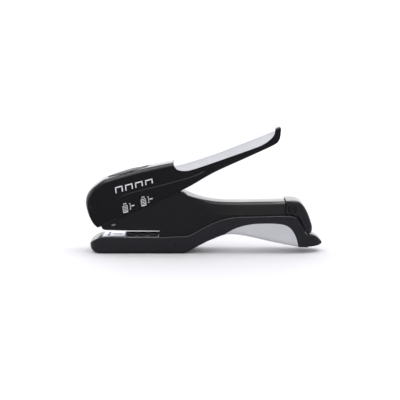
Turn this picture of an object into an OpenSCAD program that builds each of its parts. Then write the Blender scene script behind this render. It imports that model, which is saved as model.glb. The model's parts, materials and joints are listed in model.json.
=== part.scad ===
// Hand-squeezed long-arm stapler. X runs from the nose to the tail, Y across, Z up from the table.

/* [Overall] */
// Half width of the squeeze lever at the head
lever_half = 13.2; // [12.8:0.1:14]
// Half width of the lever at the end of the handle
handle_half = 11.6; // [11.2:0.1:12.4]
// Half width of the body shells
body_half = 10.8; // [10.4:0.1:10.8]
// Half width of the base
base_half = 12.4; // [12.2:0.1:13]

/* [Shell] */
// Wall of the moulded shells
wall = 1.6; // [1.2:0.1:1.8]
// Gap between parts that move past each other
gap = 0.35; // [0.3:0.05:0.5]

/* [Magazine] */
// Slope of the magazine, low at the nose
mag_tilt = 4.2; // [3.8:0.1:4.4]
// Width over the crown of a staple
staple_w = 12.7; // [12.5:0.1:12.8]
// Length of a staple's leg
staple_leg = 6; // [5:0.5:6]
// Length of the loaded strip of staples
strip_len = 50; // [25:5:50]

/* [Joints] */
// Radius of the lever's pivot pin
lever_pin_r = 2; // [1.5:0.1:2.2]
// Radius of the rear pin that the jaws close about
jaw_pin_r = 2.2; // [1.8:0.1:2.4]
// Radius of the driver arm's pin
arm_pin_r = 1.5; // [1.2:0.1:1.8]
// Running clearance round each pin
run_clear = 0.05; // [0.02:0.01:0.08]
// Radius of a release button
button_r = 3.3; // [2.8:0.1:3.5]

/* [Hidden] */
$fn = 48;

black = [0.13, 0.13, 0.15];
dark = [0.18, 0.18, 0.2];
pale = [0.85, 0.85, 0.87];
steel = [0.72, 0.72, 0.76];

wide = 40;              // more than half the width of anything
wire = 0.5;             // thickness of a staple
sheet = 0.8;            // thickness of the magazine's sheet steel
base_in = base_half - 1.25;
lever_in = body_half + 0.5;
lever_wall = 2;         // top wall of the lever
core_drop = 2.8;        // depth of the lever's steel plate under the lever's top
pin_skin = 0.6;         // wall that closes the left end of the jaw pin's bore

lever_pin = [-88, 40];
jaw_pin = [70, 29.5];
arm_pin = [-22, 44];
button_at = [73.7, 37.8];
screw_spots = [[-46, 22], [-24, 20.6], [44, 26.8]];
mag_front = [-81.8, 21.7];
mag_len = 148;
mag_high = 8.6;
mag_half = staple_w / 2 + 0.15 + sheet;
rail_half = 4;

// Points on a smooth curve through p, with n steps between neighbours
function smooth(p, n = 4) = [for (i = [0 : len(p) - 2]) for (k = [0 : n - 1])
    knot(p[max(i - 1, 0)], p[i], p[i + 1], p[min(i + 2, len(p) - 1)], k / n), p[len(p) - 1]];
function knot(a, b, c, d, t) = 0.5 * (2 * b + (c - a) * t + (2 * a - 5 * b + 4 * c - d) * t * t
    + (3 * b - a - 3 * c + d) * t * t * t);
function reversed(p) = [for (i = [len(p) - 1 : -1 : 0]) p[i]];
// Closes a half plan outline over Y = 0
function mirrored(p) = concat(p, reversed([for (q = p) [q[0], -q[1]]]));

// A side outline made solid between two Y planes
module side(p, y0, y1) {
    translate([0, y1, 0]) rotate([90, 0, 0]) linear_extrude(y1 - y0) polygon(p);
}
// A plan outline made solid between two heights
module plan(p, z0 = -5, z1 = 120) {
    translate([0, 0, z0]) linear_extrude(z1 - z0) polygon(p);
}
// A box between two corners
module block(a, b) {
    translate(a) cube(b - a);
}
// A round bar along Y, at a point of the side view
module bar(at, r, y0, y1) {
    translate([at[0], y1, at[1]]) rotate([90, 0, 0]) cylinder(r = r, h = y1 - y0);
}
// Puts the children in the magazine's own sloping frame
module in_magazine() {
    translate([mag_front[0], 0, mag_front[1]]) rotate([0, -mag_tilt, 0]) children();
}
// Side outlines, anticlockwise with X to the right and Z up
lever_top = smooth([[-89.5, 22.4], [-94.7, 27.5], [-98.6, 36], [-99.8, 44], [-96, 53], [-86, 61.3],
    [-78.8, 64.2], [-58.2, 70.2], [-37.6, 74.8], [-17.1, 78.8], [-3.5, 82.3], [10.1, 86.5],
    [37.2, 96.8], [61, 106.2]]);
lever_end = smooth([[62.8, 106.6], [63.7, 104], [63.3, 99.6], [61.8, 95.2], [58.6, 92.2]]);
lever_under = smooth([[39.5, 83.2], [9.8, 69.8], [-6.8, 60.6], [-19.9, 53.4], [-49.4, 39.9],
    [-70.6, 30.6], [-82, 25]]);
lever_line = reversed(concat(lever_top, lever_end, lever_under));

inlay_under = smooth([[-25.6, 78], [-25, 74.8], [-22.4, 71.4], [-16.7, 70.3], [-10.1, 71.3], [6.4, 76.7],
    [39.3, 88.3], [49.2, 92.4], [55.7, 97.4], [58.3, 101.4], [58.6, 106]]);

body_top = smooth([[68, 43.9], [46.8, 43.5], [30, 43.3], [14.9, 43.5], [4.9, 44.6], [-3.5, 46.4],
    [-11.9, 49], [-19, 52.2]]);
body_front = smooth([[-78, 52.6], [-87.6, 47], [-92.2, 40], [-91.6, 33.4], [-89, 28], [-86.8, 24],
    [-85.2, 20.8]]);
body_bottom = [[-83, 20.1], [-66, 19.6], [-37.4, 19.4], [-37.4, 10.2], [-15, 10.2], [1, 17.4],
    [14, 21.4], [36, 22.6], [64, 22.9]];
cavity_line = [[-81.9, 21.5], [-35.6, 21.2], [-35.6, 12], [-15.4, 12], [0.4, 19], [13.6, 23],
    [36, 24.2], [63, 24.4], [63, 33.6], [90, 33.6], [90, 42.1], [30, 41.7], [14.5, 41.9], [4.4, 43],
    [-4, 44.8], [-12.6, 47.4], [-19.4, 50.4], [-31, 52.3], [-77.6, 51], [-87, 46], [-91.1, 39.4],
    [-90.5, 33.5], [-87.8, 28.3], [-84.5, 22.4]];
jaw_boss = [for (a = [-80 : 20 : 20]) jaw_pin + 5 * [cos(a), sin(a)]];
body_line = concat(body_bottom, jaw_boss, [[74, 32], [68, 33]], body_top, [[-30, 54]], body_front);

base_lip = smooth([[68.3, 32.4], [42, 31.9], [27.7, 31.5], [18.2, 30], [9.4, 27.2], [-0.2, 22.6],
    [-10.2, 16.8], [-16.1, 15.1], [-20, 15]]);
base_nose = smooth([[-85, 14.2], [-91, 12.6], [-95.8, 9.6], [-96.5, 6.4], [-94.4, 2.4], [-90, 0]]);
base_under = smooth([[-18, 0], [-12.5, 2.3], [-3.5, 7], [4.9, 11], [15.8, 15.5]]);
insert_top = smooth([[15.8, 15.5], [21.6, 19.4], [29, 22.8], [40, 25.3], [52, 25.9], [62, 25.6],
    [68.5, 24.2], [72.6, 21.4], [75.6, 17.2], [77.6, 12.6], [79.4, 5.4]]);
insert_under = smooth([[79.4, 5.4], [70, 7], [61, 8.8], [46.9, 12.1], [34, 15], [26, 16], [15.8, 15.5]]);
base_tail = [[87.8, 4.7], [87.8, 15.6], [85.8, 16.6]];
base_seam = smooth([[85.2, 17.6], [82, 24.6], [80, 28.6], [77.6, 31.3]]);
deck_line = [[-37, 14.2], [-85, 14.2]];
base_line = concat(base_under, insert_top, base_tail, base_seam, base_lip, [[-37, 15]], deck_line, base_nose);
tail_line = concat([[88, 4.7]], smooth([[93.6, 5], [98.6, 6], [100, 8], [98.4, 10.8], [95.4, 13.6],
    [91.4, 15.7], [88, 16.4]], 3));
cap_back = smooth([[85.7, 17.7], [90, 16.9], [91.4, 20.4], [90.3, 25.4], [87.3, 33.6], [83.8, 40],
    [79, 44.3], [74.3, 45.2], [68.5, 45]], 3);
cap_line = concat(cap_back, [[68.5, 33.3], [75, 32.4], [78, 31.7], [80.4, 28.8], [82.4, 24.8]]);

// Plan outlines
lever_plan = mirrored(concat([for (a = [0 : 15 : 90]) [-92, lever_half - 8] + 8 * [-cos(a), sin(a)]],
    [[-20, lever_half], [16, lever_half - 0.2], [58, handle_half], [63, handle_half - 1.4],
    [63.8, handle_half - 4]]));
lever_hollow = mirrored([[-96.5, 5], [-93, 10], [-90, lever_in], [16, lever_in], [58, handle_half - 1.9]]);
base_plan = mirrored(concat([for (a = [0 : 15 : 90]) [-89.5, base_half - 7] + 7 * [-cos(a), sin(a)]],
    [[70, base_half], [88, base_half - 1.6]]));
body_plan = mirrored([[-92.6, 7], [-88.4, body_half], [90, body_half]]);
cavity_plan = mirrored([[-95, body_half - wall], [-14, body_half - wall], [-6, 7.9], [95, 7.9]]);
tail_plan = mirrored([[100.1, 3.5], [98, 6.5], [88, 8.6]]);
cap_plan = mirrored([[91.6, 5], [89.6, 8.8], [84, 11], [68, body_half + 0.4]]);

module base_shell() color(black) {
    floor_in = concat(smooth([[-17.4, 2], [-12, 4.4], [-3.5, 9], [5, 13], [16, 17.6]], 3));
    difference() {
        intersection() {
            side(base_line, -wide, wide);
            plan(base_plan);
        }
        // Room for the body between the side lips
        side(concat([[-38.6, 2]], floor_in, [[90, 17.6], [90, 60], [-38.6, 60]]), -base_in, base_in);
        // Room under the deck for the steel frame
        block([-88, -10, 2], [-38, 10, 11.8]);
        // Seats of the anvil plate and the throat panel
        block([-85.6, -10.2, 13], [-67.4, 10.2, 20]);
        block([-66.8, -10.2, 12.6], [-38, 10.2, 20]);
        // Relief so that the raised lips stand at the sides only
        block([-67, -base_half + 1.6, 13.6], [-38, base_half - 1.6, 20]);
        bar(jaw_pin, jaw_pin_r, -base_half + pin_skin, wide);
        for (x = [-78, -50]) translate([x, 0, 11]) cylinder(r = 1.25, h = 5);
    }
}

module base_grip_insert() color(pale) {
    difference() {
        intersection() {
            side(concat(insert_under, [for (i = [1 : len(insert_top) - 2]) insert_top[i]]), -wide, wide);
            plan(base_plan);
        }
        side(concat([[16.2, 17.2], [26, 17.7], [34, 16.7], [46.9, 13.8], [61, 10.4], [77.4, 7.4]],
            [[77.4, 40], [16.2, 40]]), -base_in, base_in);
    }
}

// Steel strip that carries the squeeze from the anvil back into the base
module base_steel_frame() color(steel) {
    line = [[-87, 8.8], [-41, 8.8], [-38.6, 2.1], [-18, 2.1], [-12, 4.9], [-3.5, 9.3], [4, 12.9], [4, 14.3],
        [-4, 10.9], [-12.5, 6.4], [-18.4, 3.6], [-37.4, 3.6], [-40, 11.7], [-87, 11.7]];
    difference() {
        side(line, -9.2, 9.2);
        for (x = [-78, -50]) translate([x, 0, 5]) cylinder(r = 1.25, h = 12);
    }
}

module frame_screws() color(steel) {
    for (x = [-78, -50]) translate([x, 0, 0]) {
        translate([0, 0, 7.2]) cylinder(r = 2.2, h = 1.6);
        translate([0, 0, 8.8]) cylinder(r = 1.25, h = 3.8);
    }
}

// Hardened plate with two curved pockets that fold the staple's legs inwards
module anvil_plate() color(steel) {
    difference() {
        block([-85.4, -10, 13.05], [-67.6, 10, 14.45]);
        for (y = [-3.6, 3.6]) translate([-80.6, y, 16.7]) rotate([0, 90, 0])
            translate([0, 0, -1]) cylinder(r = 3.2, h = 2);
        block([-76.6, -1, 14], [-70, 1, 15]);
        for (x = [-76.6, -70]) translate([x, 0, 14]) cylinder(r = 1, h = 1);
    }
}

// Ribbed black panel behind the anvil
module throat_panel() color(black) {
    block([-66.6, -10, 12.65], [-39, 10, 13.1]);
    for (y = [-9.5, 9.5]) block([-66.6, y - 0.5, 13.1], [-39, y + 0.5, 14.1]);
    intersection() {
        block([-66.6, -9, 13.1], [-39, 9, 13.8]);
        for (i = [0 : 2], s = [-1, 1]) translate([-62 + i * 9.2, 0, 13]) rotate([0, 0, s * 60])
            translate([-12, -0.5, 0]) cube([24, 1, 2]);
    }
}

module tail_spur() color(black) {
    intersection() {
        side(tail_line, -wide, wide);
        plan(tail_plan);
    }
}

module jaw_hinge_pin() color(steel) bar(jaw_pin, jaw_pin_r, -base_half + pin_skin, base_half);

module tube(r, inner, h) {
    difference() {
        cylinder(r = r, h = h);
        translate([0, 0, -1]) cylinder(r = inner, h = h + 2);
    }
}

module jaw_return_spring() color(steel) translate([-28, 0, 3.7]) tube(3.6, 2.9, 6.4);

// Half of the body, on the side given by s
module body_shell(s) {
    y0 = s > 0 ? 0.02 : -body_half;
    y1 = s > 0 ? body_half : -0.02;
    difference() {
        intersection() {
            side(body_line, y0, y1);
            plan(body_plan);
            union() {
                difference() {
                    plan(body_plan);
                    intersection() {
                        side(cavity_line, -body_half + wall, body_half - wall);
                        plan(cavity_plan);
                    }
                }
                // Bosses round the pins and screws
                bar(lever_pin, 4, s > 0 ? 8 : -body_half, s > 0 ? body_half : -8);
                bar(arm_pin, 3.4, s > 0 ? 3.4 : -body_half, s > 0 ? body_half : -3.4);
                for (p = screw_spots) bar(p, 2.1, y0, y1);
                // Shelf under the arm's return spring
                block([-52, y0, 33.4], [-44, y1, 34.6]);
            }
        }
        bar(lever_pin, lever_pin_r + run_clear, -wide, wide);
        bar(jaw_pin, jaw_pin_r + run_clear, -wide, wide);
        bar(arm_pin, arm_pin_r, -body_half + 0.8, body_half - 0.8);
        // Window for the lever's cam and the driver
        block([-92, -7.4, 40], [-56, 7.4, 60]);
        // Staple exit under the nose
        block([-83.6, -7.3, 15], [-76.6, 7.3, 24]);
        // Slots for the channel's locating tabs
        in_magazine() block([4.1, -wide, 1.5], [7.9, wide, 3.1]);
        // Mouth for the drawer
        in_magazine() block([60, -7.6, -0.2], [170, 7.6, mag_high + 0.3]);
        if (s > 0) for (p = screw_spots) {
            bar(p, 1.25, 0, wide);
            bar(p, 2.5, body_half - 0.9, wide);
        }
        if (s < 0) for (p = screw_spots) bar(p, 1.25, -body_half + 0.6, 0);
    }
}

module body_left_shell() color(black) body_shell(-1);

module body_right_shell() color(black) body_shell(1);

module body_screws() color(steel) for (p = screw_spots) {
    bar(p, 1.25, -body_half + wall - 0.4, body_half - 0.9);
    bar(p, 2.4, body_half - 0.9, body_half - 0.1);
}

// Steel channel with a front wall, open on top, with a slot in its floor for the staple
module magazine_channel() color(steel) in_magazine() {
    difference() {
        block([0, -mag_half, 0], [mag_len, mag_half, mag_high]);
        block([sheet, -mag_half + sheet, sheet], [mag_len + 1, mag_half - sheet, mag_high + 1]);
        block([sheet, -mag_half + sheet, -1], [2.4, mag_half - sheet, 2]);
    }
    for (s = [-1, 1]) mirror([0, s > 0 ? 0 : 1, 0]) block([4.5, mag_half, 1.9], [7.5, body_half + 0.15, 2.8]);
}

// Bent steel plate in front of the blade
module driver_guide() color(steel) in_magazine() {
    block([-0.9, -7.2, 1], [-0.1, 7.2, 19]);
    for (s = [-1, 1]) mirror([0, s > 0 ? 0 : 1, 0]) block([-0.1, 6.7, 9], [2.4, 7.2, 19]);
}

// Strip of staples, astride the rail with their legs down
module staple_strip() color([0.8, 0.8, 0.83]) in_magazine() {
    low = sheet + 0.05;
    high = low + staple_leg + wire;
    difference() {
        block([2.1, -staple_w / 2, low], [2.1 + strip_len, staple_w / 2, high]);
        block([2, -staple_w / 2 + wire, low - 1], [3 + strip_len, staple_w / 2 - wire, high - wire]);
    }
}

module arm_pivot_pin() color(steel) bar(arm_pin, arm_pin_r, -body_half + 0.8, body_half - 0.8);

module arm_return_spring() color(steel) translate([-48, 0, 34.6]) tube(3, 2.4, 6.8);

// Lever shell: a long channel, open below, that caps the head and reaches back as the handle
module lever_cover() color(black) {
    nose_in = [[-94.6, 45], [-96.3, 42], [-95.6, 35.6], [-92.2, 28.6], [-88.4, 24.6], [-90, 15]];
    roof = [for (i = [len(lever_top) - 4 : -1 : 12]) lever_top[i] + [0.9, -lever_wall]];
    hollow = concat([[-100, 10], [70, 60], [58.6, 92], [57, 102]], roof, nose_in);
    difference() {
        intersection() {
            side(lever_line, -wide, wide);
            plan(lever_plan);
        }
        intersection() {
            side(hollow, -wide, wide);
            plan(lever_hollow);
        }
        inlay_solid();
        pad_solid();
        bar(lever_pin, lever_pin_r, -lever_half + 1, lever_half - 1);
    }
}

// Steel plate under the top of the lever, with the cam that presses the driver arm
module lever_core() color(steel) {
    top = [for (p = lever_top) if (p[0] > -72 && p[0] < 38) p - [0, core_drop]];
    under = reversed([for (p = top) p - [0, 2]]);
    difference() {
        union() {
            side(concat(under, top), -8, 8);
            side([[-67.4, 48.6], [-62.4, 48.6], [-60, 67], [-70, 64.2]], -3, 3);
        }
        core_screws();
    }
}

module core_screws() color(steel) for (p = [[-30.5, 70], [22, 84.2]])
    translate([p[0], 0, p[1]]) cylinder(r = 2.4, h = 1.6);

// Region of the lever that the pale inlay takes up, and its hollow
module inlay_solid() {
    zone = concat(inlay_under, [[58.6, 120], [-25.6, 120]]);
    difference() {
        intersection() {
            side(zone, -wide, wide);
            side(lever_line, -wide, wide);
            plan(lever_plan);
        }
        intersection() {
            side(concat([[-40, 40], [62, 40]], [[62, 103.4]], [for (i = [len(lever_top) - 1 : -1 : 30])
                lever_top[i] + [0.4, -1.1]]), -wide, wide);
            plan(mirrored([[-40, lever_half - 1.1], [16, lever_half - 1.3], [58, handle_half - 1.1],
                [62, handle_half - 1.4]]));
        }
    }
}

module lever_grip_inlay() color(pale) inlay_solid();

// Lens-shaped pad on the lever's front top
module pad_solid() {
    lens = mirrored([for (x = [-81 : 3.4 : -47]) [x, 8.5 * pow(sin(180 * (x + 81.2) / 34.4), 0.7)]]);
    top = smooth([[-83, 63.4], [-78.8, 65], [-68, 68.2], [-58.2, 70.9], [-45, 73.6]], 3);
    intersection() {
        side(concat([for (p = top) p - [0, 1.8]], reversed(top)), -wide, wide);
        plan(lens);
    }
}

module lever_top_pad() color(dark) pad_solid();

module lever_pivot_pin() color(steel) bar(lever_pin, lever_pin_r, -lever_half + 1, lever_half - 1);

// Arm that carries the lever's push forward to the driver
module driver_arm() color(steel) {
    line = concat([for (a = [-90 : 30 : 90]) arm_pin + 3 * [cos(a), sin(a)]], [[-60, 47.2], [-80.5, 45.2],
        [-80.5, 42.2], [-60, 42.2]]);
    difference() {
        side(line, -2.6, 2.6);
        bar(arm_pin, arm_pin_r + run_clear, -wide, wide);
    }
}

module driver_blade() color(steel) in_magazine() {
    block([1.15, -6.2, 7.7], [1.75, 6.2, 22.6]);
}

// Block that joins the blade to the end of the arm
module driver_head() color(dark) in_magazine() {
    difference() {
        block([0.25, -5.6, 18], [6, 5.6, 26.4]);
        block([1.15, -6.2, 17], [1.75, 6.2, 22.6]);
        block([2.4, -3.1, 19.6], [8, 3.1, 25]);
    }
}

module rear_cap() color(black) {
    hollow = [[60, 33.8], [76.8, 33.5], [83.4, 26], [87.4, 19.6], [88.8, 21.4], [88.2, 26], [85, 33.4],
        [81.6, 39.2], [77.6, 42.8], [74, 43.6], [60, 43.4]];
    difference() {
        intersection() {
            side(cap_line, -wide, wide);
            plan(cap_plan);
        }
        intersection() {
            side(hollow, -body_half + wall, body_half - wall);
            plan(mirrored([[60, body_half - wall], [78, body_half - wall], [90, 6.4]]));
        }
        bar(button_at, button_r + gap, -wide, wide);
    }
    // Tongue that closes the seam from inside, between the side walls of the base
    side([[84.5, 18.1], [86.3, 18.6], [83.2, 25.2], [81.2, 29.2], [78.8, 32.1], [77.2, 31.9], [79.3, 28.3],
        [81.2, 24.4]], -body_half, body_half);
    // Block that holds the end of the rail
    in_magazine() block([158, -5, 0.6], [165.2, 5, 8.6]);
}

module pusher_rail() color(steel) in_magazine() difference() {
    block([3.2, -rail_half, 1.15], [158, rail_half, 4.4]);
    translate([152, 0, 0]) cylinder(r = 1.2, h = 9);
}

module rail_screw() color(steel) in_magazine() {
    translate([152, 0, 1.2]) cylinder(r = 1.2, h = 3.2);
    translate([152, 0, 4.4]) cylinder(r = 2.2, h = 1.2);
}

module staple_pusher() color(dark) in_magazine() difference() {
    block([2.6 + strip_len, -6, 1.2], [16 + strip_len, 6, 7.7]);
    block([2 + strip_len, -rail_half - 0.4, 0], [17 + strip_len, rail_half + 0.4, 4.8]);
}

module pusher_spring() color(steel) in_magazine() translate([16.4 + strip_len, 0, 6.4]) rotate([0, 90, 0])
    tube(1.5, 1.1, 80);

module release_button(s) mirror([0, s > 0 ? 0 : 1, 0]) {
    bar(button_at, button_r, 8.6, 11.7);
    bar(button_at, button_r + 0.6, 7.6, 8.6);
}

module left_release_button() color(black) release_button(-1);

module right_release_button() color(black) release_button(1);

module button_spring(s) mirror([0, s > 0 ? 0 : 1, 0]) difference() {
    bar(button_at, 2, 5.2, 7.6);
    bar(button_at, 1.5, 4, 9);
}

module left_button_spring() color(steel) button_spring(-1);

module right_button_spring() color(steel) button_spring(1);
base_shell();
base_grip_insert();
base_steel_frame();
frame_screws();
anvil_plate();
throat_panel();
tail_spur();
jaw_hinge_pin();
jaw_return_spring();
body_left_shell();
body_right_shell();
body_screws();
magazine_channel();
driver_guide();
staple_strip();
arm_pivot_pin();
arm_return_spring();
lever_cover();
lever_core();
core_screws();
lever_grip_inlay();
lever_top_pad();
lever_pivot_pin();
driver_arm();
driver_blade();
driver_head();
rear_cap();
pusher_rail();
rail_screw();
staple_pusher();
pusher_spring();
left_release_button();
right_release_button();
left_button_spring();
right_button_spring();
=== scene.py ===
"""Hand-squeezed long-arm stapler: the look model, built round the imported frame."""
import bpy
import bmesh
import json
import math
import numpy as np
from mathutils import Matrix, Vector


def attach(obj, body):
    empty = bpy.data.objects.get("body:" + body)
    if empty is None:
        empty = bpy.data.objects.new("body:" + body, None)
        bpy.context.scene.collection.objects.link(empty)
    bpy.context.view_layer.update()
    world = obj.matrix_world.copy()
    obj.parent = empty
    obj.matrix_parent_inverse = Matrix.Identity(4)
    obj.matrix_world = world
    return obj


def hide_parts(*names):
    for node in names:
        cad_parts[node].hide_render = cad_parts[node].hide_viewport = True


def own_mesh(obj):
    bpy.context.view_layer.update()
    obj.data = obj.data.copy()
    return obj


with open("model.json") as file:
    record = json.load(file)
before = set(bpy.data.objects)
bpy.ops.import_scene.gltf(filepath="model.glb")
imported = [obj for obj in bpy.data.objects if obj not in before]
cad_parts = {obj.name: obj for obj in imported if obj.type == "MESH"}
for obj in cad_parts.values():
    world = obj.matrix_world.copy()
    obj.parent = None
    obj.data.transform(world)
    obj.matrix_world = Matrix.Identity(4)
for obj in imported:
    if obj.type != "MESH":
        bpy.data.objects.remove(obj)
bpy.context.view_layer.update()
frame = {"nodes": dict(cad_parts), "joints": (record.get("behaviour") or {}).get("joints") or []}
MM = 0.001


# ---------------------------------------------------------------- curves and lofts, in millimetres

def smooth(rows, steps):
    """Points on a smooth curve through rows, with this many steps between neighbours."""
    p = np.array(rows, float)
    out = []
    for i in range(len(p) - 1):
        a, b, c, d = p[max(i - 1, 0)], p[i], p[i + 1], p[min(i + 2, len(p) - 1)]
        for k in range(steps):
            t = k / steps
            out.append(0.5 * (2 * b + (c - a) * t + (2 * a - 5 * b + 4 * c - d) * t * t
                              + (3 * b - a - 3 * c + d) * t ** 3))
    out.append(p[-1])
    return np.array(out)


def ramp(x, low, high):
    """0 below low, 1 above high, and a soft step between them."""
    t = min(max((x - low) / (high - low), 0.0), 1.0)
    return t * t * (3 - 2 * t)


def rib(up, low, width, r_up, r_low, crown, counts, relief=None):
    """One closed section between an upper and a lower point of the side view.

    width(x, z) is half the thickness across Y, the two radii round the edges, crown lifts the middle of
    the top, and relief(x, z) is taken off the sides. counts says how many steps the flat top and bottom,
    each rounded edge and each side have.
    """
    bands, turns, sides = counts
    up, low = np.array(up, float), np.array(low, float)
    high = float(np.linalg.norm(up - low))
    along = (up - low) / high
    fit = min(1.0, 0.94 * high / (r_up + r_low))
    r_up, r_low = r_up * fit, r_low * fit
    half = []

    def put(h, inward, share=1.0, face=False):
        x, z = low + along * h
        y = max(width(x, z) - inward, 0.05) * share
        if face and relief:
            y -= relief(x, z)
        half.append((x, y, z))

    for i in range(bands):
        put(0.0, r_low, i / bands)
    for i in range(turns):
        a = math.pi / 2 * i / turns
        put(r_low * (1 - math.cos(a)), r_low * (1 - math.sin(a)))
    for i in range(sides + 1):
        put(r_low + (high - r_low - r_up) * i / sides, 0.0, face=True)
    for i in range(1, turns + 1):
        a = math.pi / 2 * i / turns
        put(high - r_up + r_up * math.sin(a), r_up * (1 - math.cos(a)))
    for i in range(1, bands + 1):
        f = 1 - i / bands
        put(high + crown * (1 - f * f), r_up, f)
    return half + [(x, -y, z) for x, y, z in reversed(half[1:-1])]


def link(name, mesh):
    obj = bpy.data.objects.new(name, mesh)
    bpy.context.scene.collection.objects.link(obj)
    return obj


def loft(name, ribs):
    """Closed mesh through a row of closed sections, with flat ends."""
    n = len(ribs[0])
    verts = [(x * MM, y * MM, z * MM) for loop in ribs for x, y, z in loop]
    faces = [(r * n + i, r * n + (i + 1) % n, (r + 1) * n + (i + 1) % n, (r + 1) * n + i)
             for r in range(len(ribs) - 1) for i in range(n)]
    faces.append(tuple(range(n))[::-1])
    faces.append(tuple((len(ribs) - 1) * n + i for i in range(n)))
    mesh = bpy.data.meshes.new(name)
    mesh.from_pydata(verts, [], faces)
    clean(mesh)
    return link(name, mesh)


def form(name, rows, width, crown, counts):
    """Loft through rows of upper x, upper z, lower x, lower z, upper radius and lower radius."""
    return loft(name, [rib((upper_x, upper_z), (lower_x, lower_z), width, r_up, r_low, crown, counts)
                       for upper_x, upper_z, lower_x, lower_z, r_up, r_low in rows])


def clean(mesh, weld=2e-6):
    """Welds doubled points and points every face outwards."""
    bm = bmesh.new()
    bm.from_mesh(mesh)
    bmesh.ops.remove_doubles(bm, verts=bm.verts, dist=weld)
    bmesh.ops.dissolve_degenerate(bm, edges=bm.edges, dist=1e-7)
    bmesh.ops.recalc_face_normals(bm, faces=bm.faces)
    bm.to_mesh(mesh)
    bm.free()


def prism(name, outline, half):
    """Side outline (x, z) made solid across Y."""
    n = len(outline)
    verts = [(x * MM, s * half * MM, z * MM) for s in (-1, 1) for x, z in outline]
    faces = [tuple(range(n)), tuple(range(2 * n - 1, n - 1, -1))]
    faces += [(i, i + n, (i + 1) % n + n, (i + 1) % n) for i in range(n)]
    mesh = bpy.data.meshes.new(name)
    mesh.from_pydata(verts, [], faces)
    clean(mesh)
    return link(name, mesh)


def block(name, low, high):
    """Box between two opposite corners."""
    mesh = bpy.data.meshes.new(name)
    bm = bmesh.new()
    bmesh.ops.create_cube(bm, size=1.0)
    size = [(h - l) * MM for l, h in zip(low, high)]
    mid = [(h + l) / 2 * MM for l, h in zip(low, high)]
    place = Matrix.Translation(mid) @ Matrix.Diagonal((*size, 1))
    bmesh.ops.transform(bm, matrix=place, verts=bm.verts)
    bm.to_mesh(mesh)
    bm.free()
    return link(name, mesh)


def cad_copy(name, node):
    """A welded copy of a CAD node's mesh, as a new piece."""
    mesh = frame["nodes"][node].data.copy()
    mesh.name = name
    mesh.materials.clear()
    clean(mesh, 1e-6)
    return link(name, mesh)


def cut(obj, steps, keep=()):
    """Applies Boolean steps (operation, tool) to obj and throws the tools away, apart from those kept."""
    for operation, tool in steps:
        m = obj.modifiers.new("cut", "BOOLEAN")
        m.operation = operation
        m.object = tool
        m.solver = "EXACT"
    bpy.context.view_layer.update()
    seen = bpy.context.evaluated_depsgraph_get()
    mesh = bpy.data.meshes.new_from_object(obj.evaluated_get(seen))
    obj.modifiers.clear()
    obj.data = mesh
    for _, tool in steps:
        if tool not in keep and tool.name in bpy.data.objects:
            bpy.data.objects.remove(tool)
    return obj


def shade(obj, angle):
    """Smooth shading, apart from edges sharper than the angle in degrees."""
    mesh = obj.data
    mesh.polygons.foreach_set("use_smooth", [True] * len(mesh.polygons))
    mesh.set_sharp_from_angle(angle=math.radians(angle))


def bevel(obj, width):
    """Breaks a CAD node's sharp edges with a modifier."""
    m = obj.modifiers.new("weld", "WELD")
    m.merge_threshold = 1e-6
    m = obj.modifiers.new("rounded edges", "BEVEL")
    m.width = width * MM
    m.segments = 2
    m.limit_method = "ANGLE"
    m.angle_limit = math.radians(35)


def join(name, objs):
    """Joins the meshes of several objects into one piece."""
    bm = bmesh.new()
    for o in objs:
        bm.from_mesh(o.data)
        bpy.data.objects.remove(o)
    mesh = bpy.data.meshes.new(name)
    bm.to_mesh(mesh)
    bm.free()
    return link(name, mesh)


# ---------------------------------------------------------------- materials

def new_material(name):
    mat = bpy.data.materials.new(name)
    mat.use_nodes = True
    tree = mat.node_tree
    return mat, tree, tree.nodes["Principled BSDF"]


def add(tree, kind, **values):
    """New shader node; each value goes to the input or else to the setting of that name."""
    node = tree.nodes.new(kind)
    for key, value in values.items():
        if key in node.inputs:
            node.inputs[key].default_value = value
        else:
            setattr(node, key, value)
    return node


def noise(tree, where, scale, detail=3.0, stretch=None):
    """Noise between 0 and 1 with features 1/scale metres across, stretched along some axes if asked."""
    n = add(tree, "ShaderNodeTexNoise", Scale=scale, Detail=detail)
    if stretch:
        m = add(tree, "ShaderNodeMapping", Scale=stretch)
        tree.links.new(where, m.inputs["Vector"])
        where = m.outputs["Vector"]
    tree.links.new(where, n.inputs["Vector"])
    return n.outputs["Fac"]


def span(tree, value, low, high, out_low, out_high):
    """Carries a value from the range low..high to out_low..out_high, without going past either end."""
    n = tree.nodes.new("ShaderNodeMapRange")
    for i, v in zip((1, 2, 3, 4), (low, high, out_low, out_high)):
        n.inputs[i].default_value = v
    tree.links.new(value, n.inputs[0])
    return n.outputs[0]


# Sockets of the colour mix node
MIX_A = 6
MIX_B = 7
MIX_RESULT = 2


def tint(tree, fac, a, b):
    """Colour mix node that goes from a to b."""
    n = add(tree, "ShaderNodeMix", data_type="RGBA")
    n.inputs[MIX_A].default_value = (*a, 1)
    n.inputs[MIX_B].default_value = (*b, 1)
    tree.links.new(fac, n.inputs[0])
    return n


def object_place(tree):
    return tree.nodes.new("ShaderNodeTexCoord").outputs["Object"]


def along(tree, axis, start, end, out_start, out_end):
    """A value that changes between two places along one axis of the frame."""
    parts = tree.nodes.new("ShaderNodeSeparateXYZ")
    tree.links.new(object_place(tree), parts.inputs[0])
    return span(tree, parts.outputs[axis], start, end, out_start, out_end)


def repaint(tree, share, colour):
    """Puts a colour over what already reaches the shader's base colour, by the given share."""
    base = tree.nodes["Principled BSDF"].inputs["Base Color"]
    over = tint(tree, share, colour, colour)
    tree.links.new(base.links[0].from_socket, over.inputs[MIX_A])
    tree.links.new(over.outputs[MIX_RESULT], base)


def bump_from(tree, shader, height, strength, distance):
    bump = add(tree, "ShaderNodeBump", Strength=strength, Distance=distance)
    tree.links.new(height, bump.inputs["Height"])
    tree.links.new(bump.outputs["Normal"], shader.inputs["Normal"])


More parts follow.
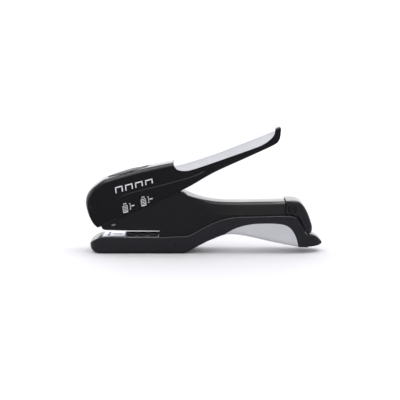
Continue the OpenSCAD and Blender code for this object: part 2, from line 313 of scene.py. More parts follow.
def plastic(name, colour, worn, rough, grain, specular, grain_size=0.35):
    """Moulded plastic: fine spark grain, slow changes of gloss, handling marks and pale worn edges."""
    mat, tree, shader = new_material(name)
    where = object_place(tree)
    slow = noise(tree, where, 45.0, 4.0)
    fine = noise(tree, where, 1000.0 / grain_size, 2.0)
    scuff = noise(tree, where, 260.0, 5.0, (1.0, 6.0, 6.0))
    edge = tree.nodes.new("ShaderNodeNewGeometry").outputs["Pointiness"]
    edge = span(tree, edge, 0.53, 0.62, 0.0, 0.5)
    base = tint(tree, span(tree, slow, 0.3, 0.7, 0.0, 1.0), colour, [c * 1.12 for c in colour])
    worn_mix = tint(tree, edge, colour, worn)
    tree.links.new(base.outputs[MIX_RESULT], worn_mix.inputs[MIX_A])
    tree.links.new(worn_mix.outputs[MIX_RESULT], shader.inputs["Base Color"])
    gloss = add(tree, "ShaderNodeMath", operation="ADD")
    tree.links.new(span(tree, slow, 0.3, 0.7, rough * 0.88, rough * 1.1), gloss.inputs[0])
    tree.links.new(span(tree, scuff, 0.5, 0.8, 0.0, 0.05), gloss.inputs[1])
    tree.links.new(gloss.outputs[0], shader.inputs["Roughness"])
    bump_from(tree, shader, fine, grain, 0.0004)
    shader.inputs["Specular IOR Level"].default_value = specular
    return mat


def metal(name, colour, rough, brushed=(1.0, 14.0, 14.0)):
    """Plated steel with a drawn grain, soft stains and fine scratches."""
    mat, tree, shader = new_material(name)
    where = object_place(tree)
    grain = noise(tree, where, 420.0, 4.0, brushed)
    slow = noise(tree, where, 120.0, 3.0)
    base = tint(tree, span(tree, slow, 0.3, 0.7, 0.0, 1.0), colour, [c * 0.86 for c in colour])
    tree.links.new(base.outputs[MIX_RESULT], shader.inputs["Base Color"])
    tree.links.new(span(tree, grain, 0.35, 0.7, rough * 0.8, rough * 1.3), shader.inputs["Roughness"])
    bump_from(tree, shader, grain, 0.08, 0.0003)
    shader.inputs["Metallic"].default_value = 1.0
    return mat


def ink(name, colour):
    """Pad-printed ink: thin, satin, slightly broken at its edge."""
    mat, tree, shader = new_material(name)
    where = object_place(tree)
    base = tint(tree, span(tree, noise(tree, where, 900.0, 3.0), 0.4, 0.6, 0.0, 1.0), colour,
                [c * 0.88 for c in colour])
    tree.links.new(base.outputs[MIX_RESULT], shader.inputs["Base Color"])
    tree.links.new(span(tree, noise(tree, where, 400.0), 0.3, 0.7, 0.42, 0.6), shader.inputs["Roughness"])
    bump_from(tree, shader, noise(tree, where, 2500.0), 0.1, 0.0001)
    return mat


def dark_below(material, height, colour):
    """Lets a metal go dark just under a height, as in a pocket that the light doesn't reach."""
    tree = material.node_tree
    repaint(tree, along(tree, "Z", height - 0.12 * MM, height - 0.02 * MM, 1.0, 0.0), colour)


def satin_and_painted_sheen_rear(material, start, end, colour, specular):
    """Turns the rear part of a plastic more satin and paints it paler, a painted sheen for the light on it,
    little by little between two places along X.
    """
    tree = material.node_tree
    level = tree.nodes["Principled BSDF"].inputs["Specular IOR Level"]
    repaint(tree, along(tree, "X", start, end, 0.0, 1.0), colour)
    tree.links.new(along(tree, "X", start, end, level.default_value, specular), level)


WORN = (0.03, 0.03, 0.034)
SHELL = plastic("black moulded shell", (0.0068, 0.007, 0.0095), WORN, rough=0.3, grain=0.04, specular=0.19)
BODY = plastic("black satin body", (0.006, 0.006, 0.0075), WORN, rough=0.3, grain=0.03, specular=0.12)
GLOSS = plastic("black gloss cover", (0.0035, 0.0035, 0.005), WORN, rough=0.27, grain=0.012, specular=0.1)
MATTE = plastic("black matte plastic", (0.008, 0.008, 0.0095), (0.04, 0.04, 0.044), rough=0.5, grain=0.1,
                specular=0.1, grain_size=0.5)
DULL = plastic("black throat plastic", (0.006, 0.006, 0.007), WORN, rough=0.6, grain=0.1, specular=0.03)
PALE = plastic("pale grip panel plastic", (0.6, 0.605, 0.62), (0.68, 0.68, 0.7), rough=0.5, grain=0.1,
               specular=0.3, grain_size=0.45)
GREY = plastic("light grey grip plastic", (0.47, 0.47, 0.49), (0.58, 0.58, 0.6), rough=0.5, grain=0.12,
               specular=0.3, grain_size=0.45)
GRIP = plastic("satin grip band", (0.006, 0.006, 0.0075), (0.05, 0.05, 0.054), rough=0.31, grain=0.03,
               specular=0.12)
# Painted sheen: the grip band's rear is painted paler for the light its upward-leaning side catches
satin_and_painted_sheen_rear(GRIP, -4 * MM, 30 * MM, (0.009, 0.009, 0.0088), 0.2)
BRIGHT = metal("nickel plated steel", (0.5, 0.5, 0.54), 0.28)
ANVIL = metal("hardened anvil plate", (0.4, 0.4, 0.47), 0.4)
ANVIL_TOP = 14.45 * MM
dark_below(ANVIL, ANVIL_TOP, (0.008, 0.008, 0.025))
ZINC = metal("zinc plated steel", (0.3, 0.3, 0.325), 0.38)
WIRE = metal("spring wire", (0.42, 0.42, 0.44), 0.3, (5.0, 5.0, 1.0))
STAPLE = metal("staple wire", (0.66, 0.66, 0.7), 0.3, (1.0, 5.0, 5.0))
PRINT = ink("pale printed ink", (0.72, 0.72, 0.74))


def finish(obj, body, material, nodes=(), angle=32):
    """Gives a new piece its material, its body and the CAD nodes it stands for."""
    obj.data.materials.clear()
    obj.data.materials.append(material)
    shade(obj, angle)
    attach(obj, body)
    if nodes:
        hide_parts(*nodes)


# ---------------------------------------------------------------- squeeze lever

# Half the lever's full thickness, where its round nose begins, and how far the teardrop stands out
LEVER_HALF = 12.95
LEVER_NOSE = -92
POD_RAISE = 0.55
LEVER_RIBS = smooth([
    # upper x, z, lower x, z, upper edge radius
    (-90.2, 23.2, -88.8, 22.6, 1.0), (-94.2, 27.6, -84.6, 24.1, 2.2), (-98.2, 36, -79, 26.7, 3.6),
    (-99.6, 44, -74, 29.1, 4.6), (-95.8, 52.8, -67.5, 32.2, 5.0), (-85.8, 61.2, -60.5, 35.3, 5.0),
    (-78.6, 64.1, -55.5, 37.4, 4.8), (-58.1, 70.1, -43, 42.9, 4.6), (-37.6, 74.7, -29, 49.4, 4.2),
    (-17.1, 78.7, -12.5, 57.2, 3.2), (-3.5, 82.2, 0, 64.6, 2.4), (10.1, 86.4, 12, 71.0, 2.0),
    (37.2, 96.7, 38, 82.7, 1.8), (57.5, 104.8, 57.2, 91.6, 1.8), (62.5, 106.45, 61.8, 95.4, 1.8),
    (63.5, 104.2, 63.1, 99.8, 0.9)], 9)
# Raised teardrop on each side; its lower end runs past the cover's edge
POD = smooth([(0.6, 69.9), (-10.2, 65.2), (-31.1, 59.2), (-46.2, 55.4), (-64.3, 50.6), (-72.6, 45.6),
              (-75.6, 40.4), (-74.6, 35.2), (-71.2, 31.2)], 5)
POD = np.vstack([POD, [(-60, 30), (-20, 48), (2, 60)]])


def to_outline(x, z, outline):
    """Signed distance to a closed outline, positive inside."""
    p = np.array((x, z))
    a = outline
    b = np.roll(outline, -1, axis=0)
    ab = b - a
    t = np.clip(((p - a) * ab).sum(1) / np.maximum((ab * ab).sum(1), 1e-12), 0, 1)
    near = np.sqrt((((a + ab * t[:, None]) - p) ** 2).sum(1).min())
    crossing = (a[:, 1] > z) != (b[:, 1] > z)
    at = a[:, 0] + (z - a[:, 1]) / np.where(ab[:, 1] == 0, 1e-9, ab[:, 1]) * ab[:, 0]
    inside = np.count_nonzero(crossing & (x < at)) % 2
    return near if inside else -near


def lever_width(x, z):
    """Half the lever's thickness: round nose, slow taper to the rear, narrower at the very end."""
    full = LEVER_HALF
    if x < LEVER_NOSE:
        nose = 8.0
        full += nose * (math.sqrt(max(1 - ((LEVER_NOSE - x) / nose) ** 2, 0.0)) - 1)
    full -= 0.2 * ramp(x, -20, 16) + 1.4 * ramp(x, 10, 64)
    return full - 2.2 * ramp(x, 57, 65)


def pod_relief(x, z):
    """The side stands back a little everywhere but on the raised teardrop."""
    return POD_RAISE * (1 - ramp(to_outline(x, z, POD), -0.9, 0.1))


def lever_solid(name, grow=0.0, side_steps=44):
    """The lever's outer form, thicker all round by grow."""
    ribs = []
    for upper_x, upper_z, lower_x, lower_z, radius in LEVER_RIBS:
        up, low = np.array((upper_x, upper_z)), np.array((lower_x, lower_z))
        more = (up - low) / np.linalg.norm(up - low) * grow
        ribs.append(rib(up + more, low - more, lambda x, z: lever_width(x, z) + grow,
                        r_up=radius + max(grow, -0.6), r_low=0.9, crown=0.35, counts=(8, 6, side_steps),
                        relief=pod_relief))
    return loft(name, ribs)


INLAY_EDGE = smooth([(-25.3, 79), (-25, 74.8), (-22.4, 71.5), (-16.7, 70.4), (-10.1, 71.4), (6.4, 76.8),
                     (39.3, 88.4), (49.2, 92.5), (55.6, 97.4), (58.1, 101.4), (58.4, 106)], 8)


def inlay_zone():
    """The part of the side view that the grip panel fills, with a hairline gap to the cover round it."""
    gap = 0.14
    mid = np.array((15.0, 95.0))
    edge = INLAY_EDGE + gap * (mid - INLAY_EDGE) / np.linalg.norm(mid - INLAY_EDGE, axis=1)[:, None]
    return prism("panel zone", [tuple(p) for p in edge] + [(58.4 - gap, 116), (-25.3 + gap, 116)], 30)


cover_form = lever_solid("lever form", side_steps=84)
cover = cut(cad_copy("lever_cover_shell", "lever_cover"), [("INTERSECT", cover_form)])
finish(cover, "lever", GLOSS, ["lever_cover"])

inlay = cut(lever_solid("lever_grip_panel", 0.1), [("INTERSECT", inlay_zone()),
                                                   ("DIFFERENCE", lever_solid("panel inside", -1.0))])
finish(inlay, "lever", PALE, ["lever_grip_inlay"])

# ---------------------------------------------------------------- body shells

# Half the body's full thickness
BODY_HALF = 10.77
BODY_RIBS = smooth([
    # upper x, z, lower x, z, upper radius, lower radius
    (-92.1, 39.2, -91.3, 34, 1.0, 0.6), (-89.4, 46.6, -87.8, 25.4, 1.0, 0.5),
    (-84, 50.6, -86, 19.8, 1.0, 0.4), (-77, 52.7, -81, 16.8, 1.0, 0.4),
    (-66, 53.2, -67, 13, 1.0, 0.35), (-50, 53.7, -50, 9.6, 1.0, 0.35),
    (-39.6, 53.8, -39.6, 8.4, 1.0, 0.35), (-28, 53.7, -30, 8, 1.0, 0.4),
    (-19, 52.1, -20, 8, 1.0, 0.4), (-11.9, 48.9, -12, 8, 1.1, 0.4), (-3.5, 46.3, -3.5, 12, 1.6, 0.4),
    (4.9, 44.5, 4.9, 15, 2.0, 0.4), (14.9, 43.42, 14.9, 18, 2.3, 0.4), (30, 43.22, 30, 20, 2.4, 0.4),
    (46.8, 43.42, 46.8, 20, 2.4, 0.4), (60, 43.7, 60, 20, 2.4, 0.4), (69, 43.84, 76, 20, 2.4, 0.4)], 6)
# Line on the side above which the grip leans inwards
SCOOP = smooth([(-19, 51.5), (-10, 45.2), (-3, 39.6), (3.8, 35.6), (15.8, 33.1), (30, 32.6), (70, 33.6)], 6)


def scoop_foot(x):
    return float(np.interp(x, SCOOP[:, 0], SCOOP[:, 1]))


def body_width(x, z):
    """Half the body's thickness: pinched at the nose, and leaning inwards above the scoop line."""
    side = BODY_HALF
    nose, rear = -88.4, -18
    if x < nose:
        side -= 3.8 * min((nose - x) / 4.2, 1)
    if x > rear:
        foot = scoop_foot(x)
        rise = min(max((z - foot) / (43.6 - foot + 3 * ramp(-x, -6, 18)), 0.0), 1.0)
        side -= 2.1 * rise ** 1.5 * ramp(x, rear, 4)
    return side


def paint_grip(shell):
    """Gives the faces above the scoop line their satin finish, which carries a painted sheen towards the
    rear.
    """
    shell.data.materials.append(GRIP)
    for face in shell.data.polygons:
        x, _, z = face.center / MM
        if x > -6 and z > scoop_foot(x) + 0.3:
            face.material_index = 1


body_form = form("body form", BODY_RIBS, body_width, 0.12, (8, 5, 40))
for side in ("left", "right"):
    shell = cad_copy(f"body_{side}_half", f"body_{side}_shell")
    shell = cut(shell, [("INTERSECT", body_form)], keep=(body_form,))
    finish(shell, "head", BODY, [f"body_{side}_shell"])
    paint_grip(shell)
bpy.data.objects.remove(body_form)

# ---------------------------------------------------------------- base

# Half the base's full thickness, and where its round nose begins
BASE_HALF = 12.37
BASE_NOSE = -89.5
BASE_RIBS = smooth([
    # upper x, z, lower x, z, upper radius, lower radius
    (-96.3, 7.4, -96.2, 5.6, 0.6, 0.6), (-95.5, 9.6, -94.9, 3.2, 1.0, 1.6),
    (-91, 12.5, -92.4, 1.2, 1.0, 1.8), (-85, 14.12, -87, 0.04, 0.9, 1.6), (-67, 14.12, -67, 0.04, 0.7, 1.5),
    (-37, 14.15, -38, 0.04, 0.8, 1.5), (-22, 14.95, -20, 0.06, 0.9, 1.5), (-16.1, 15.0, -14.6, 1.2, 0.9, 1.6),
    (-10.2, 16.7, -7.6, 4.8, 0.9, 1.8), (-0.2, 22.5, 0, 8.9, 0.9, 2.2), (9.4, 27.1, 8, 12.4, 0.9, 2.8),
    (18.2, 29.9, 17, 15.6, 0.9, 3.4), (27.7, 31.4, 27, 15.95, 0.9, 3.8), (42, 31.8, 42, 13.2, 0.9, 4.0),
    (56, 32.1, 56, 9.9, 0.9, 4.0), (68.3, 32.3, 69, 7.25, 0.8, 3.9), (75, 31.35, 76, 5.95, 0.8, 3.4),
    (79.35, 28.7, 80.5, 4.9, 0.7, 2.4), (82.15, 23.5, 83.5, 4.75, 0.7, 2.0), (85.0, 17.3, 86, 4.75, 0.6, 1.8),
    (87.75, 15.5, 87.75, 4.75, 0.6, 1.6)], 7)


def base_width(x, z):
    """Half the base's thickness: round nose, and a slow taper at the rear."""
    side = BASE_HALF
    if x < BASE_NOSE:
        side += 7 * (math.sqrt(max(1 - ((BASE_NOSE - x) / 7.1) ** 2, 0.0)) - 1)
    return side - 1.6 * ramp(x, 66, 92)


base_form = form("base form", BASE_RIBS, base_width, 0.0, (8, 8, 26))
base = cut(cad_copy("base_housing", "base_shell"), [("INTERSECT", base_form)], keep=(base_form,))
finish(base, "base", SHELL, ["base_shell"])
insert = cut(cad_copy("base_grip_panel", "base_grip_insert"), [("INTERSECT", base_form)])
finish(insert, "base", GREY, ["base_grip_insert"])

# ---------------------------------------------------------------- rear cap and tail

# Half the cap's full thickness
CAP_HALF = 11.15
CAP_RIBS = smooth([
    # upper x, z, lower x, z, upper radius, lower radius
    (68.55, 44.9, 68.55, 33.35, 1.2, 1.1), (74.3, 45.05, 74.3, 32.3, 1.8, 1.1),
    (79.2, 44.1, 76.9, 31.4, 2.3, 1.1), (83.7, 39.95, 78.8, 28.0, 2.6, 1.1),
    (87.2, 33.65, 80.2, 25.6, 2.6, 1.1), (90.2, 25.45, 82.2, 21.6, 2.5, 1.0),
    (91.25, 20.4, 83.9, 18.6, 2.2, 0.8), (90.0, 17.0, 85.7, 17.4, 1.0, 0.4)], 7)


def cap_width(x, z):
    return CAP_HALF - 2.6 * ramp(x, 74, 93)


cap_form = form("cap form", CAP_RIBS, cap_width, 0.1, (8, 6, 16))
# A groove along the seam between cap and base, down to the cap's inner tongue
SEAM_UPPER = smooth([(67.5, 33.75), (75.1, 32.8), (78.4, 32.0), (80.8, 29.0), (82.9, 24.9), (86.3, 17.6)], 4)
SEAM_LOWER = smooth([(84.9, 17.0), (81.5, 24.2), (79.2, 28.1), (77.3, 30.7), (74.8, 31.5), (67.5, 32.4)], 4)
seam = cut(prism("seam", [tuple(p) for p in np.vstack([SEAM_UPPER, SEAM_LOWER])], 14),
           [("DIFFERENCE", block("seam floor", (60, -9.4, 10), (95, 9.4, 40)))])
cap = cut(cad_copy("drawer_end_cap", "rear_cap"), [("INTERSECT", cap_form), ("DIFFERENCE", seam)])
finish(cap, "drawer", SHELL, ["rear_cap"])

TAIL_RIBS = smooth([
    # upper x, z, lower x, z, upper radius, lower radius
    (88.02, 16.3, 88.02, 4.8, 1.6, 1.6), (91.4, 15.6, 91.6, 4.95, 1.8, 1.8), (95.4, 13.4, 95, 5.35, 1.8, 1.8),
    (98.4, 10.6, 98, 6.1, 1.4, 1.4), (99.75, 8.6, 99.6, 7.2, 0.5, 0.5)], 7)


def tail_width(x, z):
    return 8.5 - 1.6 * ramp(x, 88, 97) - 3.4 * ramp(x, 95, 101)


tail = form("tail_fin", TAIL_RIBS, tail_width, 0.1, (6, 6, 10))
finish(tail, "base", SHELL, ["tail_spur"])

# ---------------------------------------------------------------- small parts

# Centre of the two release buttons, and the front end of the sloping magazine
BUTTON_X = 73.7
BUTTON_Z = 37.8
MAG_FRONT = (-81.8, 21.7)
slide = next(j for j in frame["joints"] if j["name"] == "drawer_slide")
MAG_TILT = math.atan2(slide["axis"][2], slide["axis"][0])


def revolve(name, profile, at, axis, sides):
    """Closed solid of revolution: profile of (radius, height along axis) from the axis and back to it."""
    axis = Vector(axis).normalized()
    one = axis.orthogonal().normalized()
    two = axis.cross(one)
    bm = bmesh.new()
    rings = []
    for r, h in profile:
        mid = Vector(at) + axis * h
        if r < 1e-6:
            rings.append([bm.verts.new(mid * MM)])
            continue
        turn = [2 * math.pi * k / sides for k in range(sides)]
        ring = [mid + one * r * math.cos(a) + two * r * math.sin(a) for a in turn]
        rings.append([bm.verts.new(v * MM) for v in ring])
    for a, b in zip(rings, rings[1:]):
        for k in range(sides):
            corners = [a[k % len(a)], a[(k + 1) % len(a)], b[(k + 1) % len(b)], b[k % len(b)]]
            corners = list(dict.fromkeys(corners))
            if len(corners) > 2:
                bm.faces.new(corners)
    bmesh.ops.recalc_face_normals(bm, faces=bm.faces)
    mesh = bpy.data.meshes.new(name)
    bm.to_mesh(mesh)
    bm.free()
    return link(name, mesh)


def coil(name, start, end, radius, wire, turns, steps=22, sides=8):
    """Compression spring with closed ends: round wire in a helix from start to end, radius to the outside."""
    start, end = Vector(start), Vector(end)
    high = (end - start).length
    axis = (end - start).normalized()
    one = axis.orthogonal().normalized()
    two = axis.cross(one)
    lift = (high - 3 * wire) / (turns - 2)
    count = int(turns * steps)
    verts = []
    for i in range(count + 1):
        n = turns * i / count
        h = wire / 2 + wire * min(n, 1) + wire * max(n - turns + 1, 0)
        h += lift * min(max(n - 1, 0), turns - 2)
        a = 2 * math.pi * n
        out = one * math.cos(a) + two * math.sin(a)
        mid = start + axis * h + out * (radius - wire / 2)
        for k in range(sides):
            b = 2 * math.pi * k / sides
            verts.append((mid + (out * math.cos(b) + axis * math.sin(b)) * wire / 2) * MM)
    faces = []
    for i in range(count):
        for k in range(sides):
            a, b = i * sides + k, i * sides + (k + 1) % sides
            faces.append((a, b, b + sides, a + sides))
    faces.append(tuple(range(sides))[::-1])
    faces.append(tuple(count * sides + k for k in range(sides)))
    mesh = bpy.data.meshes.new(name)
    mesh.from_pydata(verts, [], faces)
    clean(mesh)
    return link(name, mesh)


def in_magazine(obj):
    """Moves a piece made in the magazine's own frame to its place in the sloping magazine."""
    place = Matrix.Translation((MAG_FRONT[0] * MM, 0, MAG_FRONT[1] * MM))
    obj.data.transform(place @ Matrix.Rotation(-MAG_TILT, 4, "Y"))
    return obj


def magazine_point(x, z):
    """A point in the sloping magazine's own side view, as a point of the frame."""
    return (MAG_FRONT[0] + x * math.cos(MAG_TILT) - z * math.sin(MAG_TILT), 0,
            MAG_FRONT[1] + x * math.sin(MAG_TILT) + z * math.cos(MAG_TILT))


def islands(node):
    """Lowest and highest corners, in millimetres, of each separate solid in a CAD node."""
    bm = bmesh.new()
    bm.from_mesh(frame["nodes"][node].data)
    bmesh.ops.remove_doubles(bm, verts=bm.verts, dist=1e-6)
    left = set(bm.verts)
    boxes = []
    while left:
        queue = [left.pop()]
        found = list(queue)
        while queue:
            for edge in queue.pop().link_edges:
                for v in edge.verts:
                    if v in left:
                        left.discard(v)
                        queue.append(v)
                        found.append(v)
        co = np.array([v.co for v in found]) / MM
        boxes.append((co.min(axis=0), co.max(axis=0)))
    bm.free()
    return sorted(boxes, key=lambda box: tuple(box[0]))


# ---------------------------------------------------------------- springs

def springs():
    """Wire coils in place of the CAD sleeves, each with a mesh of its own."""
    jaw = coil("jaw_spring_coil", (-28, 0, 3.7), (-28, 0, 10.1), 3.6, 0.7, 5)
    finish(jaw, "base", WIRE, ["jaw_return_spring"])
    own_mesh(jaw)
    arm = coil("arm_spring_coil", (-48, 0, 34.6), (-48, 0, 41.4), 3, 0.6, 6)
    finish(arm, "head", WIRE, ["arm_return_spring"])
    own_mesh(arm)
    near, far = magazine_point(66.4, 6.4), magazine_point(146.4, 6.4)
    push = coil("pusher_spring_coil", near, far, 1.5, 0.4, 30, 14, 6)
    finish(push, "drawer", WIRE, ["pusher_spring"])
    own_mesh(push)
    for side, name in ((-1, "left"), (1, "right")):
        foot = (BUTTON_X, side * 5.2, BUTTON_Z)
        tip = (BUTTON_X, side * 7.6, BUTTON_Z)
        small = coil(f"{name}_button_coil", foot, tip, 2, 0.35, 4.5, 18, 6)
        finish(small, "drawer", WIRE, [f"{name}_button_spring"])
        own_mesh(small)


# ---------------------------------------------------------------- staples, screws and buttons

def staples():
    """A glued strip of staples: one ridge for each wire, square shoulders and chisel-cut legs."""
    # Half the crown, the legs' lower end and the crown's top, in the magazine's own frame
    half = 6.35
    low = 0.9
    high = 7.32
    # The wire's thickness, the distance from one wire to the next, the first wire's front, how many there are
    wire = 0.5
    pitch = 0.52
    first = 2.15
    wires = 96
    arc = [math.pi / 2 * k / 4 for k in range(5)]

    def outline(inset):
        w, h, r = half - inset, high - inset, 0.45
        inner_w, inner_h, q = half - wire + inset, high - wire + inset, 0.12
        out = [(-w, low + inset)] + [(-w + r - r * math.cos(a), h - r + r * math.sin(a)) for a in arc]
        out += [(w - r + r * math.sin(a), h - r + r * math.cos(a)) for a in arc] + [(w, low + inset)]
        out += [(inner_w, low + inset), (inner_w, inner_h - q), (inner_w - q, inner_h)]
        return out + [(-inner_w + q, inner_h), (-inner_w, inner_h - q), (-inner_w, low + inset)]

    rings = []
    for i in range(wires):
        start = first + i * pitch
        for x, inset in ((start, 0.1), (start + 0.13, 0.0), (start + 0.39, 0.0)):
            rings.append([(x, y, z) for y, z in outline(inset)])
    strip = in_magazine(loft("staple_strip_wires", rings))
    finish(strip, "head", STAPLE, ["staple_strip"], 50)


def screw(name, low, high, axis, head_end, head_high, shank_r):
    """Pan-head screw with a cross recess that fills the box between two corners."""
    # Half the width of the recess's slots
    cross = 0.32
    mid = (low + high) / 2
    along = np.zeros(3)
    along[axis] = head_end
    head_r = max((high - low)[(axis + 1) % 3], (high - low)[(axis + 2) % 3]) / 2
    long = (high - low)[axis]
    at = mid - along * long / 2
    top = long - head_high
    profile = [(0, 0), (shank_r - 0.25, 0.0), (shank_r, 0.3)] if top > 1 else [(0, 0)]
    h = 0.6
    while h < top - 0.4:
        profile += [(shank_r, h), (shank_r - 0.22, h + 0.2), (shank_r, h + 0.4)]
        h += 0.5
    profile += [(shank_r, top), (head_r - 0.1, top), (head_r, top + 0.1), (head_r, long - 0.5 * head_high)]
    for k in range(1, 7):
        a = math.pi / 2 * k / 6
        profile.append((head_r * (0.55 + 0.45 * math.cos(a)), long - 0.5 * head_high * (1 - math.sin(a))))
    profile.append((0, long))
    body = revolve(name, profile, at, along, 32)
    tools = []
    tip = at + along * long
    for k in (0, 1):
        arm = np.full(3, cross)
        arm[(axis + 1 + k) % 3] = head_r * 0.62
        arm[axis] = head_high * 0.45
        tools.append(("DIFFERENCE", block(f"{name} recess {k}", tip - arm, tip + arm)))
    return cut(body, tools)


def screws():
    """Cross-head screws, one piece for each fastener node."""
    # body, axis, which end the head is at, head height, shank radius
    kinds = {"frame_screws": ("base", 2, -1, 1.6, 1.25), "body_screws": ("head", 1, 1, 0.8, 1.25),
             "core_screws": ("lever", 2, 1, 1.5, 1.2)}
    for node, (body, axis, head_end, head_high, shank_r) in kinds.items():
        parts = [screw(f"{node} {i}", low, high, axis, head_end, head_high, shank_r)
                 for i, (low, high) in enumerate(islands(node))]
        finish(join(f"{node}_cross_head", parts), body, ZINC, [node], 40)


def buttons():
    """Round release buttons with a rolled rim and a ringed, dished face."""
    for side, name in ((-1, "left"), (1, "right")):
        rim = [(3.05 - 0.4 * (1 - math.cos(a)), 11.25 + 0.45 * math.sin(a))
               for a in (math.pi / 2 * k / 5 for k in range(6))]
        rings = [(2.5, 11.62), (2.4, 11.4), (2.1, 11.36), (2.02, 11.24), (1.9, 11.24), (1.82, 11.34),
                 (1.4, 11.3), (1.32, 11.18), (1.2, 11.18), (1.12, 11.28), (0, 11.24)]
        profile = [(0, 7.6), (3.75, 7.6), (3.9, 7.75), (3.9, 8.45), (3.75, 8.6), (3.05, 8.6)] + rim + rings
        cap = revolve(f"{name}_button_face", profile, (BUTTON_X, 0, BUTTON_Z), (0, side, 0), 48)
        finish(cap, f"{name}_button", MATTE, [f"{name}_release_button"])


springs()
staples()
screws()
buttons()

# ---------------------------------------------------------------- pad on the lever's front

PAD_TOP = smooth([(-83, 63.4), (-78.8, 65), (-68, 68.2), (-58.2, 70.9), (-45, 73.6)], 6)


def pad_half(x):
    """Half the pad's width: a lens pointed at both ends."""
    return 8.35 * max(math.sin(math.pi * (x + 81.2) / 34.4), 0.0) ** 0.7


def top_pad():
    """Lens-shaped moulded pad, crowned across, with a rolled edge."""
    ribs = []
    for x in np.linspace(-80.6, -47.4, 44):
        z = float(np.interp(x, PAD_TOP[:, 0], PAD_TOP[:, 1]))
        half = pad_half(x)
        ribs.append(rib((x, z - 0.3), (x, z - 1.7), lambda px, pz: half,
                        r_up=0.5, r_low=0.15, crown=0.28, counts=(10, 6, 3)))
    finish(loft("lever_pad_lens", ribs), "lever", MATTE, ["lever_top_pad"])


top_pad()

# ---------------------------------------------------------------- printed motif on the lever's left side

def lever_side(x, z):
    return lever_width(x, z) - pod_relief(x, z)


def stroke(verts, faces, start, end, width):
    """Adds a flat bar of ink that follows the lever's side from start to end."""
    start, end = np.array(start, float), np.array(end, float)
    along = (end - start) / np.linalg.norm(end - start)
    across = np.array((-along[1], along[0])) * width / 2
    steps = max(int(np.linalg.norm(end - start) / 0.4), 1)
    first = len(verts)
    under, over = -0.06, 0.035
    for i in range(steps + 1):
        mid = start + (end - start) * i / steps
        for edge, lift in ((-1, under), (1, under), (1, over), (-1, over)):
            p = mid + across * edge
            verts.append((p[0] * MM, -(lever_side(*p) + lift) * MM, p[1] * MM))
    for i in range(steps):
        a = first + 4 * i
        faces += [(a + k, a + (k + 1) % 4, a + 4 + (k + 1) % 4, a + 4 + k) for k in range(4)]
    last = first + 4 * steps
    faces += [(first, first + 3, first + 2, first + 1), (last, last + 1, last + 2, last + 3)]


def print_motif():
    """A row of four staples above two little stacks of sheets, each with a bracket at its side."""
    slope = math.radians(15.6)
    along = np.array((math.cos(slope), math.sin(slope)))
    up = np.array((-math.sin(slope) * 0.4, 1.0))
    verts, faces = [], []

    def line(origin, a, b, width):
        place = [np.array(origin) + along * p[0] + up * p[1] for p in (a, b)]
        stroke(verts, faces, place[0], place[1], width)

    for i in range(4):
        origin = np.array((-73.6, 51.6)) + along * 8.6 * i
        high = 4.6 - 0.35 * i
        line(origin, (0, high), (6.4, high), 0.95)
        line(origin, (0.45, 0), (0.45, high), 0.85)
        line(origin, (5.95, 0), (5.95, high), 0.85)
    for origin in ((-67.4, 35.3), (-52.2, 41.0)):
        for k in range(5):
            line(origin, (0, 1.3 * k), (4.2, 1.3 * k), 0.42 if k else 0.75)
        line(origin, (0.1, 0), (0.1, 5.2), 0.36)
        line(origin, (4.1, 0), (4.1, 5.2), 0.36)
        line(origin, (0.9, 7.2), (3.3, 7.2), 0.5)
        line(origin, (1.1, 6.1), (1.1, 7.2), 0.4)
        line(origin, (3.1, 6.1), (3.1, 7.2), 0.4)
        line(origin, (6.6, 1.2), (6.6, 6.4), 0.36)
        line(origin, (5.7, 1.3), (6.6, 1.3), 0.36)
        line(origin, (5.7, 6.3), (6.6, 6.3), 0.36)
        line(origin, (7.4, 3.8), (10.0, 3.8), 0.8)
    mesh = bpy.data.meshes.new("printed_motif")
    mesh.from_pydata(verts, [], faces)
    clean(mesh, 1e-9)
    finish(link("printed_motif", mesh), "lever", PRINT)


print_motif()

# ---------------------------------------------------------------- carried-over CAD nodes

LOOKS = {
    "base_steel_frame": ZINC, "anvil_plate": ANVIL, "throat_panel": DULL, "jaw_hinge_pin": BRIGHT,
    "magazine_channel": ZINC, "driver_guide": ZINC, "arm_pivot_pin": BRIGHT, "lever_core": ZINC,
    "lever_pivot_pin": BRIGHT, "driver_arm": ZINC, "driver_blade": BRIGHT, "driver_head": MATTE,
    "pusher_rail": ZINC, "staple_pusher": MATTE, "rail_screw": ZINC}
for node, material in LOOKS.items():
    obj = frame["nodes"][node]
    for s in obj.material_slots:
        s.material = material
    bevel(obj, 0.15)

# ---------------------------------------------------------------- stage, light and camera

def stage():
    """Pale matt floor that glows more and more away from the object, so that it meets the room unseen."""
    mesh = bpy.data.meshes.new("floor")
    size = 12.0
    corners = [(-size, -size, 0), (size, -size, 0), (size, size, 0), (-size, size, 0)]
    mesh.from_pydata(corners, [], [(0, 1, 2, 3)])
    floor = link("floor", mesh)
    mat, tree, shader = new_material("pale floor")
    where = object_place(tree)
    base = tint(tree, noise(tree, where, 3.0), (0.5, 0.5, 0.505), (0.48, 0.48, 0.485))
    tree.links.new(base.outputs[MIX_RESULT], shader.inputs["Base Color"])
    shader.inputs["Roughness"].default_value = 0.9
    far = add(tree, "ShaderNodeVectorMath", operation="LENGTH")
    tree.links.new(where, far.inputs[0])
    shader.inputs["Emission Color"].default_value = (1, 1, 1, 1)
    tree.links.new(span(tree, far.outputs["Value"], 0.3, 1.0, 0.0, 0.75), shader.inputs["Emission Strength"])
    floor.data.materials.append(mat)
    studio()


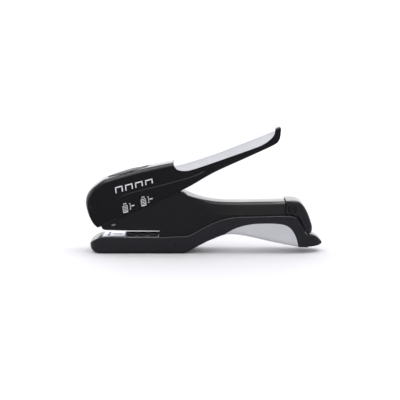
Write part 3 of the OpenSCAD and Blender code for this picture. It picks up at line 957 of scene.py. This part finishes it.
def studio():
    """White room, darker low down on the side that the camera stands on."""
    world = bpy.data.worlds.new("studio")
    bpy.context.scene.world = world
    world.use_nodes = True
    tree = world.node_tree
    back = tree.nodes["Background"]
    where = tree.nodes.new("ShaderNodeTexCoord").outputs["Generated"]
    parts = tree.nodes.new("ShaderNodeSeparateXYZ")
    tree.links.new(where, parts.inputs[0])
    depth = span(tree, parts.outputs["Y"], -0.3, 0.5, 0.0, 1.0)
    shade_of = tint(tree, depth, (0.4, 0.4, 0.43), (1.0, 1.0, 1.04))
    tree.links.new(shade_of.outputs[MIX_RESULT], back.inputs["Color"])
    back.inputs["Strength"].default_value = 1.8


def area(name, at, toward, size, power, lights_walls=True):
    """Softbox; with lights_walls off it shows only in glossy surfaces, as a reflector card does."""
    data = bpy.data.lights.new(name, "AREA")
    data.shape = "RECTANGLE"
    data.size, data.size_y = size
    data.energy = power
    lamp = bpy.data.objects.new(name, data)
    bpy.context.scene.collection.objects.link(lamp)
    lamp.visible_diffuse = lights_walls
    lamp.location = at
    lamp.rotation_euler = (Vector(toward) - Vector(at)).to_track_quat("-Z", "Y").to_euler()


def camera():
    """Looks along +Y from 10.5 degrees above the table."""
    tilt = math.radians(10.5)
    far = 0.75
    aim = Vector((-0.0035, 0.0, 0.04376))
    data = bpy.data.cameras.new("camera")
    data.lens = 79.75
    data.sensor_width = 36.0
    cam = bpy.data.objects.new("camera", data)
    bpy.context.scene.collection.objects.link(cam)
    cam.location = aim + Vector((0, -far * math.cos(tilt), far * math.sin(tilt)))
    cam.rotation_euler = (aim - cam.location).to_track_quat("-Z", "Y").to_euler()
    bpy.context.scene.camera = cam


stage()
camera()
area("top softbox", (0.0, 0.0, 0.7), (0, 0, 0.04), (1.0, 0.3), 4.4)
area("gloss card above", (0.0, -0.12, 0.62), (0, 0, 0.04), (1.2, 0.55), 18.0, False)
area("gloss card behind", (0.0, 1.3, 0.34), (0, 0, 0.06), (2.4, 0.5), 6.0, False)
area("gloss card left", (-1.1, 0.05, 0.4), (-0.08, 0, 0.04), (0.9, 0.5), 5.0, False)
area("front softbox", (-0.35, -0.8, 0.5), (0, 0, 0.05), (0.5, 0.4), 1.6)
bpy.context.scene.view_settings.view_transform = "Standard"
